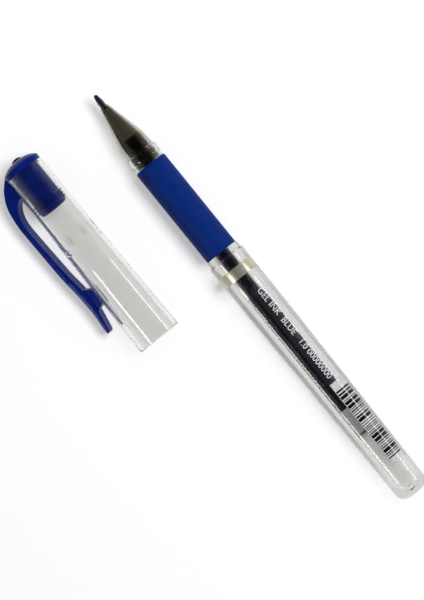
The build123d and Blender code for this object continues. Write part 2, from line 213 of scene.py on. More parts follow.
# %% Floor
floor_gap, floor_glow = 0.00002, 0.36
floor_mesh = bpy.data.meshes.new("floor")
sheet = bmesh.new()
bmesh.ops.create_grid(sheet, x_segments=2, y_segments=2, size=2.0)
bmesh.ops.translate(sheet, verts=sheet.verts, vec=(0.0, 0.0, cad_box[0][2] - floor_gap))
sheet.to_mesh(floor_mesh)
sheet.free()
floor = bpy.data.objects.new("floor", floor_mesh)
scene.collection.objects.link(floor)
paper = bpy.data.materials.new("white_sheet")
paper.use_nodes = True
paper_nodes, paper_links = paper.node_tree.nodes, paper.node_tree.links
paper_shader = paper_nodes["Principled BSDF"]
paper_shader.inputs["Base Color"].default_value = (0.86, 0.86, 0.87, 1.0)
paper_shader.inputs["Roughness"].default_value = 0.9
paper_shader.inputs["Specular IOR Level"].default_value = 0.0
paper_ray = paper_nodes.new("ShaderNodeLightPath")
paper_tree = paper.node_tree
by_camera, through = paper_ray.outputs["Is Camera Ray"], paper_ray.outputs["Is Transmission Ray"]
looked_at = maths(paper_tree, "MAXIMUM", by_camera, through)
looked_any = maths(paper_tree, "MAXIMUM", looked_at, paper_ray.outputs["Is Glossy Ray"])
glow = maths(paper_tree, "MULTIPLY", looked_any, floor_glow)
paper_shader.inputs["Emission Color"].default_value = (1.0, 1.0, 1.0, 1.0)
paper_links.new(glow, paper_shader.inputs["Emission Strength"])
floor_mesh.materials.append(paper)
floor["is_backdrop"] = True
print("floor at", round(cad_box[0][2] / MM, 2), "mm")

# %% [markdown]
# ## Tools for finishes
# A finish starts as one Principled shader. A few small tools add what real plastic, rubber and metal
# show: a noise field in the piece's own space, a socket or a colour that follows it, and a relief.
# The field is given by the size of its grains in millimetres, which is easier to judge than a scale.
# Noise mostly stays between 0.3 and 0.7, so about that much of it is stretched to the whole range.

# %% Tools for finishes
def tone(red, green, blue):
    """A colour as it is named on screen, turned into the linear numbers that shaders use."""
    shares = [c / 255 for c in (red, green, blue)]
    linear = [c / 12.92 if c <= 0.04045 else ((c + 0.055) / 1.055) ** 2.4 for c in shares]
    return (*linear, 1.0)


def new_finish(name, **settings):
    """A Principled finish, with its sockets set by name."""
    finish = bpy.data.materials.new(name)
    finish.use_nodes = True
    shader = finish.node_tree.nodes["Principled BSDF"]
    for socket, value in settings.items():
        shader.inputs[socket.replace("_", " ")].default_value = value
    return finish


def grains(finish, size, stretch=(1.0, 1.0, 1.0), detail=3.0):
    """A noise field whose grains are about size millimetres, longer along the stretched axes."""
    nodes, links = finish.node_tree.nodes, finish.node_tree.links
    place = nodes.new("ShaderNodeTexCoord")
    spread = nodes.new("ShaderNodeMapping")
    spread.inputs["Scale"].default_value = [1.0 / s for s in stretch]
    noise = nodes.new("ShaderNodeTexNoise")
    noise.inputs["Scale"].default_value = 1.0 / (size * MM)
    noise.inputs["Detail"].default_value = detail
    links.new(place.outputs["Object"], spread.inputs["Vector"])
    links.new(spread.outputs["Vector"], noise.inputs["Vector"])
    return noise.outputs["Fac"]


def follow(finish, socket, field, low, high):
    """One socket runs from low to high with the field."""
    nodes, links = finish.node_tree.nodes, finish.node_tree.links
    span = nodes.new("ShaderNodeMapRange")
    span.inputs["From Min"].default_value = 0.3
    span.inputs["From Max"].default_value = 0.7
    span.inputs["To Min"].default_value = low
    span.inputs["To Max"].default_value = high
    links.new(field, span.inputs["Value"])
    links.new(span.outputs["Result"], nodes["Principled BSDF"].inputs[socket])


def two_tone(finish, field, dark, pale):
    """The colour runs between two tones with the field."""
    nodes, links = finish.node_tree.nodes, finish.node_tree.links
    ramp = nodes.new("ShaderNodeValToRGB")
    ramp.color_ramp.elements[0].position = 0.35
    ramp.color_ramp.elements[0].color = dark
    ramp.color_ramp.elements[1].position = 0.65
    ramp.color_ramp.elements[1].color = pale
    links.new(field, ramp.inputs["Fac"])
    links.new(ramp.outputs["Color"], nodes["Principled BSDF"].inputs["Base Color"])


def relief(finish, field, depth, strength=1.0):
    """The surface rises and falls with the field, by depth millimetres."""
    nodes, links = finish.node_tree.nodes, finish.node_tree.links
    bump = nodes.new("ShaderNodeBump")
    bump.inputs["Distance"].default_value = depth * MM
    bump.inputs["Strength"].default_value = strength
    links.new(field, bump.inputs["Height"])
    links.new(bump.outputs["Normal"], nodes["Principled BSDF"].inputs["Normal"])


def along_pen(finish, start, stop, field):
    """A field that grows from 0 at start to 1 at stop along the pen, stirred by another field."""
    nodes, links = finish.node_tree.nodes, finish.node_tree.links
    place = nodes.new("ShaderNodeTexCoord")
    axes = nodes.new("ShaderNodeSeparateXYZ")
    links.new(place.outputs["Object"], axes.inputs["Vector"])
    span = nodes.new("ShaderNodeMapRange")
    span.inputs["From Min"].default_value = start * MM
    span.inputs["From Max"].default_value = stop * MM
    links.new(axes.outputs["X"], span.inputs["Value"])
    stirred = nodes.new("ShaderNodeMix")
    stirred.inputs["Factor"].default_value = 0.2
    links.new(span.outputs["Result"], stirred.inputs["A"])
    links.new(field, stirred.inputs["B"])
    return stirred.outputs["Result"]


def lets_lamps_through(finish, tint):
    """Lamps shine through a clear piece instead of leaving a solid shadow behind it."""
    nodes, links = finish.node_tree.nodes, finish.node_tree.links
    path = nodes.new("ShaderNodeLightPath")
    clear = nodes.new("ShaderNodeBsdfTransparent")
    clear.inputs["Color"].default_value = tint
    mix = nodes.new("ShaderNodeMixShader")
    links.new(path.outputs["Is Shadow Ray"], mix.inputs["Fac"])
    links.new(nodes["Principled BSDF"].outputs[0], mix.inputs[1])
    links.new(clear.outputs[0], mix.inputs[2])
    links.new(mix.outputs[0], nodes["Material Output"].inputs["Surface"])


print("mid grey", [round(c, 3) for c in tone(128, 128, 128)])

# %% [markdown]
# ## Clear plastics
# The barrel, the nose cone and the cap's tube are moulded from clear polycarbonate. It bends light by
# its index of 1.5, has faint flow lines along the moulding and a slight haze where hands have rubbed it.
# The refill is softer, cloudier polypropylene. Real refraction is used, not a pale see-through paint,
# because the light strips along each wall come from it.
#
# Tint darkens what is seen through a wall, and shade darkens the lamps' light passing it. They are kept
# apart, so that an edge can look grey without a heavy shadow below. The holder is smoky all through: its
# solid front reads as brown plastic, and its thin rear clears enough to show the ink plugged into it.

# %% Clear plastics
def clear_plastic(name, tint, shade, haze_low, haze_high, gloss=0.5):
    """A clear moulded plastic with haze and flow lines; shade is what one wall lets through of a lamp."""
    finish = new_finish(name, Base_Color=tint, IOR=1.49, Transmission_Weight=1.0, Specular_IOR_Level=gloss)
    follow(finish, "Roughness", grains(finish, 2.5, (3.0, 1.0, 1.0)), haze_low, haze_high)
    relief(finish, grains(finish, 3.0, (20.0, 1.0, 1.0), 0.0), 0.0003)
    lets_lamps_through(finish, (shade, shade, shade, 1.0))
    return finish


barrel_plastic = clear_plastic("barrel_clear", (0.69, 0.69, 0.67, 1.0), 0.95, 0.04, 0.07)
bore_plastic = clear_plastic("barrel_bore", (0.98, 0.98, 0.96, 1.0), 0.97, 0.04, 0.07, 0.12)
nose_plastic = clear_plastic("nose_clear", (0.43, 0.40, 0.33, 1.0), 0.90, 0.04, 0.08, 0.25)
cap_plastic = clear_plastic("cap_clear", (0.86, 0.86, 0.84, 1.0), 0.95, 0.03, 0.06)
pad_plastic = clear_plastic("cap_pads", (1.0, 1.0, 0.99, 1.0), 0.99, 0.03, 0.06)
refill_plastic = clear_plastic("refill_cloudy", (0.98, 0.98, 0.98, 1.0), 0.97, 0.04, 0.09, 0.12)

smoke_plastic = new_finish("holder_smoke", IOR=1.5, Specular_IOR_Level=0.2)
rearward = along_pen(smoke_plastic, 14.6, 16.4, grains(smoke_plastic, 1.8, (4.0, 1.0, 1.0)))
two_tone(smoke_plastic, rearward, tone(128, 122, 106), (0.12, 0.11, 0.088, 1.0))
follow(smoke_plastic, "Transmission Weight", rearward, 0.15, 1.0)
follow(smoke_plastic, "Roughness", grains(smoke_plastic, 0.8), 0.10, 0.18)
lets_lamps_through(smoke_plastic, (0.62, 0.60, 0.54, 1.0))
print("clear plastics", [m.name for m in (barrel_plastic, nose_plastic, cap_plastic, refill_plastic)])

# %% [markdown]
# ## Blue plastic and rubber
# The dome and clip are glossy royal-blue plastic, and the grip is matte rubber of nearly the same blue.
# The difference is all in the surface: a smooth skin with a sharp highlight against a fine grain that
# scatters it. Both get slow changes of tone, because no moulding is the same blue all over.

# %% Blue plastic and rubber
blue_plastic = new_finish("cap_blue", IOR=1.5, Specular_IOR_Level=0.1)
two_tone(blue_plastic, grains(blue_plastic, 3.0), tone(3, 28, 112), tone(6, 36, 128))
follow(blue_plastic, "Roughness", grains(blue_plastic, 1.2, (3.0, 1.0, 1.0)), 0.1, 0.18)
relief(blue_plastic, grains(blue_plastic, 1.5, detail=1.0), 0.001)

grip_rubber = new_finish(
    "grip_rubber", IOR=1.45, Specular_IOR_Level=0.12, Sheen_Weight=0.02, Sheen_Roughness=0.4,
)
two_tone(grip_rubber, grains(grip_rubber, 2.2), tone(1, 40, 119), tone(5, 45, 127))
follow(grip_rubber, "Roughness", grains(grip_rubber, 0.5), 0.5, 0.66)
relief(grip_rubber, grains(grip_rubber, 0.09, detail=4.0), 0.012, 0.7)

seal_rubber = new_finish("seal_rubber", IOR=1.45, Specular_IOR_Level=0.08)
two_tone(seal_rubber, grains(seal_rubber, 0.6), tone(10, 11, 22), tone(22, 24, 42))
follow(seal_rubber, "Roughness", grains(seal_rubber, 0.3), 0.38, 0.55)
relief(seal_rubber, grains(seal_rubber, 0.12), 0.006)
print("blues and rubber made")

# %% [markdown]
# ## Ink, grease and metal
# Gel ink is so dense that it looks black with a navy tint. Behind it sits a plug of clear grease that
# follows it down the tube. The point is nickel silver with turning marks round it, the ball is hard
# carbide, slightly porous so that it grips the ink, and the trim band is a champagne foil.

# %% Ink, grease and metal
gel_ink = new_finish("gel_ink", IOR=1.38, Coat_Weight=0.1)
two_tone(gel_ink, grains(gel_ink, 1.5, (4.0, 1.0, 1.0)), tone(9, 7, 26), tone(18, 15, 42))
follow(gel_ink, "Roughness", grains(gel_ink, 1.0), 0.15, 0.3)

follower_grease = new_finish("follower_grease", IOR=1.45, Transmission_Weight=0.88, Specular_IOR_Level=0.1)
grease_grains = grains(follower_grease, 1.2, (3.0, 1.0, 1.0))
two_tone(follower_grease, grease_grains, tone(244, 241, 238), tone(252, 250, 248))
follow(follower_grease, "Roughness", grains(follower_grease, 0.7), 0.12, 0.22)
lets_lamps_through(follower_grease, (0.98, 0.98, 0.98, 1.0))

point_metal = new_finish("point_nickel_silver", Metallic=1.0)
two_tone(point_metal, grains(point_metal, 0.5), tone(74, 78, 84), tone(112, 114, 120))
follow(point_metal, "Roughness", grains(point_metal, 0.12, (0.3, 3.0, 3.0)), 0.16, 0.34)
relief(point_metal, grains(point_metal, 0.1, (0.3, 6.0, 6.0)), 0.0012)

ball_carbide = new_finish("ball_carbide", Metallic=1.0)
two_tone(ball_carbide, grains(ball_carbide, 0.06), tone(96, 98, 104), tone(150, 150, 156))
follow(ball_carbide, "Roughness", grains(ball_carbide, 0.05), 0.12, 0.4)
relief(ball_carbide, grains(ball_carbide, 0.04), 0.001)

spring_steel = new_finish("spring_steel", Metallic=1.0)
two_tone(spring_steel, grains(spring_steel, 0.2), tone(150, 152, 158), tone(188, 188, 190))
follow(spring_steel, "Roughness", grains(spring_steel, 0.1, (4.0, 1.0, 1.0)), 0.18, 0.3)

band_foil = new_finish("band_champagne", Metallic=0.7, Coat_Weight=0.25, Coat_Roughness=0.08)
two_tone(band_foil, grains(band_foil, 0.4, (0.25, 4.0, 4.0)), tone(182, 174, 154), tone(216, 208, 188))
follow(band_foil, "Roughness", grains(band_foil, 0.25, (0.3, 5.0, 5.0)), 0.26, 0.4)
relief(band_foil, grains(band_foil, 0.15, (0.3, 5.0, 5.0)), 0.0015)
print("ink, grease and metals made")

# %% [markdown]
# ## Print and film
# The label is a clear film with white letters, a pale patch and dark bars. The film is a thin gloss that
# mostly lets the barrel show. Patch and bars are thin enough to let part of the lamps' light through, or
# the refill below them would lie in the dark.

# %% Print and film
label_film = new_finish("label_film", Base_Color=tone(150, 152, 156), Alpha=0.025)
follow(label_film, "Roughness", grains(label_film, 1.5), 0.06, 0.14)

white_print = new_finish("white_print", IOR=1.5)
two_tone(white_print, grains(white_print, 0.25), tone(222, 224, 230), tone(244, 245, 247))
follow(white_print, "Roughness", grains(white_print, 0.3), 0.2, 0.34)

pale_print = new_finish("pale_print", IOR=1.5)
two_tone(pale_print, grains(pale_print, 0.8), tone(204, 207, 209), tone(220, 222, 223))
follow(pale_print, "Roughness", grains(pale_print, 0.5), 0.06, 0.12)
lets_lamps_through(pale_print, (0.92, 0.92, 0.92, 1.0))

dark_print = new_finish("dark_print", IOR=1.5)
two_tone(dark_print, grains(dark_print, 0.3), tone(6, 6, 8), tone(20, 20, 24))
follow(dark_print, "Roughness", grains(dark_print, 0.4), 0.06, 0.12)
lets_lamps_through(dark_print, (0.8, 0.8, 0.8, 1.0))
print("print finishes made")

# %% [markdown]
# ## Turning tools
# A lathe piece is drawn as half of its section: points along the pen and out from its axis. The points
# become a bare wire, a vertex bevel rounds the corners that carry a third number, and a full spin turns
# the wire into a closed skin. Starting from a cylinder would need a loop cut for every step instead.

# %% Turning tools
AROUND = 128
CREASE = math.radians(28.0)
FULL_TURN = 2.0 * math.pi


def wire(outline, closed=True):
    """A wire through (along, out) points in millimetres; a third number rounds that corner."""
    work = bmesh.new()
    corners = [work.verts.new((point[0], 0.0, point[1])) for point in outline]
    for here, after in zip(corners, corners[1:]):
        work.edges.new((here, after))
    if closed:
        work.edges.new((corners[-1], corners[0]))
    for size in sorted({point[2] for point in outline if len(point) > 2}):
        rounded = [c for c, point in zip(corners, outline) if len(point) > 2 and point[2] == size]
        bmesh.ops.bevel(
            work, geom=rounded, offset=size, offset_type="OFFSET", affect="VERTICES",
            segments=6, profile=0.5, material=-1,
        )
    return work


def turned(outline, closed=True, axis=(0.0, 0.0), around=AROUND):
    """The outline spun about a line along X at that (y, z)."""
    work = wire(outline, closed)
    bmesh.ops.spin(
        work, geom=work.verts[:] + work.edges[:], cent=(0, 0, 0), axis=(1, 0, 0),
        angle=FULL_TURN, steps=around, use_merge=True,
    )
    bmesh.ops.remove_doubles(work, verts=work.verts, dist=0.0005)
    bmesh.ops.dissolve_degenerate(work, dist=0.0001, edges=work.edges)
    bmesh.ops.recalc_face_normals(work, faces=work.faces)
    bmesh.ops.translate(work, verts=work.verts, vec=(0.0, *axis))
    return work


def coiled(section, turns, pitch, per_turn=48):
    """A small section wound about the X axis, its ends closed."""
    work = wire(section)
    bmesh.ops.spin(
        work, geom=work.verts[:] + work.edges[:], cent=(0, 0, 0), axis=(1, 0, 0),
        dvec=(pitch / per_turn, 0, 0), angle=FULL_TURN * turns, steps=round(turns * per_turn),
    )
    bmesh.ops.holes_fill(work, edges=[e for e in work.edges if e.is_boundary], sides=0)
    bmesh.ops.recalc_face_normals(work, faces=work.faces)
    return work


def join(work, other):
    """Puts another piece of work into this one."""
    spare = bpy.data.meshes.new("spare")
    other.to_mesh(spare)
    other.free()
    work.from_mesh(spare)
    bpy.data.meshes.remove(spare)


def make_piece(name, work, finish):
    """Turns finished work into an object in metres, smooth but for its real edges."""
    bmesh.ops.scale(work, verts=work.verts, vec=(MM, MM, MM))
    for face in work.faces:
        face.smooth = True
    for edge in work.edges:
        edge.smooth = not edge.is_manifold or edge.calc_face_angle() < CREASE
    mesh = bpy.data.meshes.new(name)
    work.to_mesh(mesh)
    open_edges = sum(not edge.is_manifold for edge in work.edges)
    work.free()
    mesh.materials.append(finish)
    piece = bpy.data.objects.new(name, mesh)
    scene.collection.objects.link(piece)
    print(name, len(mesh.polygons), "faces,", open_edges, "open edges")
    return piece


def seat(piece, body, slot, *nodes):
    """The piece rides on a body and stands for nodes of the frame, which it hides. The slot is not used.
    """
    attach(piece, body)
    if nodes:
        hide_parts(*nodes)


# %% [markdown]
# ## Writing point
# The ball is half a millimetre in radius and turns in a socket whose lip is rolled over it. The metal
# point behind it is turned in one piece: cone, two fine grooves, shoulder and a thin shank that presses
# into the holder. A fine spring inside keeps the ball against the lip when the pen isn't writing.

# %% Ball
ball_low, ball_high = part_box("writing_ball")
ball_radius = (ball_high.x - ball_low.x) / 2 / MM
ball_work = bmesh.new()
bmesh.ops.create_icosphere(ball_work, subdivisions=4, radius=ball_radius)
bmesh.ops.translate(ball_work, verts=ball_work.verts, vec=(ball_radius, 0, 0))
seat(make_piece("carbide_ball", ball_work, ball_carbide), "ball", "ball_carbide", "writing_ball")

# %% Metal point
point_outline = [
    (0.30, 0.48), (0.30, 0.60, 0.05), (2.4, 0.95, 0.15), (3.2, 0.95), (3.26, 0.91), (3.34, 0.91),
    (3.4, 0.95), (4.5, 0.95), (4.56, 0.91), (4.64, 0.91), (4.7, 0.95), (5.0, 0.95, 0.05),
    (5.0, 0.72), (9.5, 0.72, 0.08), (9.5, 0.25), (5.0, 0.25), (5.0, 0.40), (0.832, 0.40), (0.70, 0.48),
    (0.50, 0.52),
]
seat(make_piece("metal_point", turned(point_outline), point_metal), "refill", "point_metal", "point_body")

# %% Ball spring
spring_start, spring_stop = (x / MM for x in (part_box("ball_spring")[0].x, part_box("ball_spring")[1].x))
wire_radius, coil_radius, coil_turns, ball_gap = 0.09, 0.28, 9, 0.02
first = spring_start + ball_gap + wire_radius
spring_section = [
    (first + along * wire_radius, coil_radius + out * wire_radius, 0.05)
    for along, out in ((-1, -1), (1, -1), (1, 1), (-1, 1))
]
spring_pitch = (spring_stop - first - wire_radius) / coil_turns
spring = coiled(spring_section, coil_turns, spring_pitch, 24)
seat(make_piece("point_spring", spring, spring_steel), "refill", "spring_steel", "ball_spring")

# %% [markdown]
# ## Refill
# A smoke-brown holder joins the metal point to the tube and fills the nose cone. The tube is narrow under
# the grip and widens behind it. The ink wets the tube's wall, so there is no air between them: the ink
# is drawn a hair larger than the bore. With a gap there, the wall would mirror and the ink would look
# thin and silvery.

# %% Tip holder
holder_outline = [
    (5.0, 0.74), (5.0, 1.15, 0.08), (16.4, 3.33, 0.4), (19.9, 3.33, 0.12), (19.9, 2.17), (15.8, 2.17),
    (15.8, 0.25), (9.5, 0.25), (9.5, 0.74),
]
holder = make_piece("smoke_holder", turned(holder_outline), smoke_plastic)
seat(holder, "refill", "smoke_plastic", "tip_holder")

# %% Refill tube
tube_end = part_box("refill_tube")[1].x / MM
tube_outline = [
    (15.8, 1.75), (15.8, 2.15, 0.06), (70.6, 2.15, 0.35), (71.4, 2.78, 0.35), (tube_end, 2.78, 0.12),
    (tube_end, 2.38, 0.12), (71.4, 2.38, 0.3), (70.6, 1.75, 0.3),
]
refill_wall = make_piece("refill_wall", turned(tube_outline), refill_plastic)
seat(refill_wall, "refill", "refill_plastic", "refill_tube")

# %% Ink and follower
ink_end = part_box("ink_column")[1].x / MM
wet = 0.03
ink_outline = [
    (5.02, 0.0), (5.02, 0.23), (15.82, 0.23), (15.82, 1.75 + wet, 0.1), (70.6, 1.75 + wet, 0.3),
    (71.4, 2.38 + wet, 0.3), (ink_end, 2.38 + wet, 0.1), (ink_end, 0.0),
]
seat(make_piece("gel_ink", turned(ink_outline, closed=False), gel_ink), "refill", "gel_ink", "ink_column")
follower_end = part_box("ink_follower")[1].x / MM
follower_outline = [
    (ink_end - 0.04, 0.0), (ink_end - 0.04, 2.40), (follower_end, 2.40, 0.1),
    (follower_end - 0.9, 1.2, 0.4), (follower_end - 0.9, 0.0),
]
follower = make_piece("grease_follower", turned(follower_outline, closed=False), follower_grease)
seat(follower, "refill", "follower_grease", "ink_follower")

# %% [markdown]
# ## Nose cone
# The nose cone is a clear shell with a hole for the point and a threaded spigot behind. The thread is a
# true helix: the small ridge section is spun with a step forward at each turn, which plain rings could
# only hint at. It stays low enough to clear the barrel's socket.

# %% Nose cone
nose_outline = [
    (4.2, 1.0), (4.2, 1.3, 0.2), (16.4, 4.15, 0.8), (20.2, 4.30, 0.08), (20.2, 3.70), (24.2, 3.70, 0.12),
    (24.2, 3.40), (16.4, 3.40, 0.6), (4.9, 1.2), (4.9, 1.0),
]
nose = turned(nose_outline)
thread_section = [(20.75, 3.64), (20.97, 3.90, 0.05), (21.15, 3.90, 0.05), (21.37, 3.64)]
join(nose, coiled(thread_section, 2.5, 1.0, 64))
seat(make_piece("clear_nose", nose, nose_plastic), "nose", "nose_plastic", "nose_cone")

# %% [markdown]
# ## Barrel
# One clear moulding runs from the bead that the cap snaps over to the closed, rounded tail. Its outline
# goes in through the bore and back along the outside, so the wall has its true thickness everywhere,
# and that thickness is what makes the pale strips down each side. The bore ends in a soft dome, because
# a flat end would draw a dark bar across the tail. The bore's skin gets a duller finish than the outside.

# %% Barrel
tail_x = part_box("barrel")[1].x / MM
taper_start, body_top, tail_top = 75.0, 5.60, 4.86
bore_limit, bore_end = 3.6, 140.05
barrel_outline = [
    (140.0, 0.0), (139.7, 1.3, 0.8), (138.2, 2.6, 1.2), (137.0, 2.79), (120.8, 2.86), (59.6, 3.08),
    (59.6, 3.28), (24.5, 3.28), (24.5, 3.95),
    (20.4, 3.95, 0.1), (20.4, 4.85, 0.3), (23.0, 4.85, 0.28), (23.2, 4.55), (24.6, 4.55), (24.6, 4.15),
    (56.1, 4.15), (56.1, 5.20, 0.15), (58.1, 5.20, 0.12), (58.45, 5.65, 0.15), (59.6, 5.65, 0.5),
    (61.7, 5.60), (61.7, 5.50), (65.0, 5.50), (65.0, 5.60, 0.04), (taper_start, 5.60, 3.0),
    (tail_x, tail_top, 3.0), (tail_x, 0.0),
]
barrel_work = turned(barrel_outline, closed=False)
for face in barrel_work.faces:
    middle = face.calc_center_median()
    face.material_index = int(math.hypot(middle.y, middle.z) < bore_limit and middle.x < bore_end)
barrel_wall = make_piece("clear_barrel", barrel_work, barrel_plastic)
barrel_wall.data.materials.append(bore_plastic)
seat(barrel_wall, "barrel", "clear_plastic", "barrel")

# %% [markdown]
# ## Grip and trim band
# The grip is a rubber tube with a large soft corner in front, where fingers rest, and a small one behind.
# The band is a thin foil ring let into the body. It stands a hair above it, as a pressed ring does.

# %% Grip and trim band
grip_outline = [(24.62, 4.17), (24.62, 4.93, 0.5), (56.08, 4.93, 0.2), (56.08, 4.17)]
seat(make_piece("rubber_grip", turned(grip_outline), grip_rubber), "barrel", "grip_rubber", "grip_sleeve")
band_outline = [(61.72, 5.52), (61.72, 5.62, 0.03), (64.98, 5.62, 0.03), (64.98, 5.52)]
seat(make_piece("foil_band", turned(band_outline), band_foil), "barrel", "band_foil", "trim_band")

# %% [markdown]
# ## Label
# Film, patch, bars and words are first laid out flat: along the pen in millimetres, round it in degrees
# from the top, and up from the body in millimetres. One step then rolls all of them onto the barrel, so
# nothing floats and nothing sinks in. The bars are a made-up rhythm of widths, and the words are plain.

# %% Label tools
film_low, film_high = 0.02, 0.07
patch_low, patch_high = film_high + 0.004, film_high + 0.014
bars_low, bars_high = film_high + 0.018, film_high + 0.028


def body_radius(x):
    """The barrel's outer radius along its tapered stretch."""
    return body_top + (tail_top - body_top) * max(x - taper_start, 0.0) / (tail_x - taper_start)


def lay_slab(work, start, end, low_angle, high_angle, low, high, cuts):
    """A thin flat block, cut across so that it can be rolled."""
    made = bmesh.ops.create_cube(work, size=1.0)["verts"]
    bmesh.ops.scale(work, verts=made, vec=(end - start, high_angle - low_angle, high - low))
    middle = ((start + end) / 2, (low_angle + high_angle) / 2, (low + high) / 2)
    bmesh.ops.translate(work, verts=made, vec=middle)
    across = {e for v in made for e in v.link_edges if abs(e.verts[0].co.y - e.verts[1].co.y) > 0.001}
    bmesh.ops.subdivide_edges(work, edges=list(across), cuts=cuts, use_grid_fill=True)


def roll_up(work):
    """Rolls flat work onto the barrel."""
    for vertex in work.verts:
        radius = body_radius(vertex.co.x) + vertex.co.z
        angle = math.radians(vertex.co.y)
        vertex.co = (vertex.co.x, radius * math.sin(angle), radius * math.cos(angle))
    bmesh.ops.recalc_face_normals(work, faces=work.faces)
    return work


# %% Film and patch
film_flat = bmesh.new()
lay_slab(film_flat, 69.0, 132.0, -5.0, 63.0, film_low, film_high, 24)
bmesh.ops.bisect_plane(
    film_flat, geom=film_flat.verts[:] + film_flat.edges[:] + film_flat.faces[:],
    plane_co=(taper_start, 0, 0), plane_no=(1, 0, 0),
)
seat(make_piece("label_film", roll_up(film_flat), label_film), "barrel", "label_film", "barrel_label")
patch_flat = bmesh.new()
lay_slab(patch_flat, 103.6, 131.0, 0.0, 57.0, patch_low, patch_high, 20)
seat(make_piece("label_patch", roll_up(patch_flat), pale_print), "barrel", "label_film")

# %% Bars
bar_choice = random.Random(11)
bars_flat = bmesh.new()
bar_x = 106.2
while bar_x < 130.0:
    bar_width = bar_choice.choice((0.26, 0.26, 0.4, 0.55, 0.95))
    lay_slab(bars_flat, bar_x, bar_x + bar_width, 1.2, 55.5, bars_low, bars_high, 12)
    bar_x += bar_width + bar_choice.choice((0.26, 0.3, 0.45))
seat(make_piece("label_bars", roll_up(bars_flat), dark_print), "barrel", "label_film")

# %% Words
writing = bpy.data.curves.new("writing", "FONT")
writing.body = "GEL INK  BLUE   1.0 00000000"
writing.size = 2.4
writing.extrude = 0.006
writing_object = bpy.data.objects.new("writing", writing)
scene.collection.objects.link(writing_object)
bpy.context.view_layer.update()
letters_mesh = bpy.data.meshes.new_from_object(writing_object)
bpy.data.objects.remove(writing_object)
letters = bmesh.new()
letters.from_mesh(letters_mesh)
bpy.data.meshes.remove(letters_mesh)
bmesh.ops.remove_doubles(letters, verts=letters.verts, dist=0.0001)
letters_low = [min(v.co[i] for v in letters.verts) for i in range(3)]
letters_high = [max(v.co[i] for v in letters.verts) for i in range(3)]
words_low, words_high = (70.6, 8.6, patch_low), (102.0, 27.2, patch_high)
bmesh.ops.translate(letters, verts=letters.verts, vec=[-c for c in letters_low])
growth = [(words_high[i] - words_low[i]) / (letters_high[i] - letters_low[i]) for i in range(3)]
bmesh.ops.scale(letters, verts=letters.verts, vec=growth)
bmesh.ops.translate(letters, verts=letters.verts, vec=words_low)
seat(make_piece("label_words", roll_up(letters), white_print), "barrel", "label_film")

# %% [markdown]
# ## Cap tube
# The cap's tube is clear and widens slowly to its mouth. Inside are a low ridge that snaps over the
# barrel's bead and six small pads that guide the pen in. One pad is made and spun round five times. The
# pads sit half in the wall, so their finish has no tint: it would darken the wall twice.

# %% Cap tube
cap_axis = (-28.3, 0.95)
cap_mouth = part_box("cap_tube")[1].x / MM
cap_outline = [
    (4.02, 4.88), (4.02, 5.75, 0.06), (17.4, 5.83, 2.0), (cap_mouth, 6.60, 0.3), (cap_mouth, 5.37, 0.12),
    (61.3, 5.37, 0.5), (30.9, 5.05, 0.2), (30.4, 4.86, 0.3), (29.5, 4.86, 0.3), (29.0, 5.03, 0.2),
    (24.4, 5.01, 0.2), (23.9, 4.93, 0.3), (23.4, 5.0, 0.2),
]
cap_wall = turned(cap_outline, axis=cap_axis)
pad_half_size, pad_place, pad_turn = (1.5, 0.7, 0.09), (27.2, 0, 5.05), math.radians(30.0)
pads = bmesh.new()
bmesh.ops.create_icosphere(pads, subdivisions=4, radius=1.0)
bmesh.ops.scale(pads, verts=pads.verts, vec=pad_half_size)
bmesh.ops.translate(pads, verts=pads.verts, vec=pad_place)
bmesh.ops.rotate(pads, verts=pads.verts, cent=(0, 0, 0), matrix=Matrix.Rotation(pad_turn, 3, "X"))
bmesh.ops.spin(
    pads, geom=pads.verts[:] + pads.edges[:] + pads.faces[:], cent=(0, 0, 0), axis=(1, 0, 0),
    angle=FULL_TURN * 5 / 6, steps=5, use_duplicate=True,
)
bmesh.ops.translate(pads, verts=pads.verts, vec=(0.0, *cap_axis))
seat(make_piece("clear_cap_tube", cap_wall, cap_plastic), "cap", "clear_plastic", "cap_tube")
seat(make_piece("guide_pads", pads, pad_plastic), "cap", "clear_plastic")

# %% [markdown]
# ## Dome, skirt and seal
# The blue plug closes the cap: a low dome outside, and inside the tube a skirt with three snap rings.
# The crown is an arc through three known points, so one small helper finds points along it. The dark
# button in the middle is the outer end of a soft seal that closes the point when the pen is capped.

# %% Dome and skirt
def arc_through(start, middle, end, count):
    """Points on the circle through three points, from start to end."""
    (ax, ay), (bx, by), (cx, cy) = start, middle, end
    d = 2 * (ax * (by - cy) + bx * (cy - ay) + cx * (ay - by))
    ux = ((ax**2 + ay**2) * (by - cy) + (bx**2 + by**2) * (cy - ay) + (cx**2 + cy**2) * (ay - by)) / d
    uy = ((ax**2 + ay**2) * (cx - bx) + (bx**2 + by**2) * (ax - cx) + (cx**2 + cy**2) * (bx - ax)) / d
    first_angle, last_angle = math.atan2(ay - uy, ax - ux), math.atan2(cy - uy, cx - ux)
    if first_angle < 0 < last_angle:
        first_angle += 2 * math.pi
    radius = math.hypot(ax - ux, ay - uy)
    steps = [first_angle + (last_angle - first_angle) * i / count for i in range(count + 1)]
    return [(ux + radius * math.cos(a), uy + radius * math.sin(a)) for a in steps]


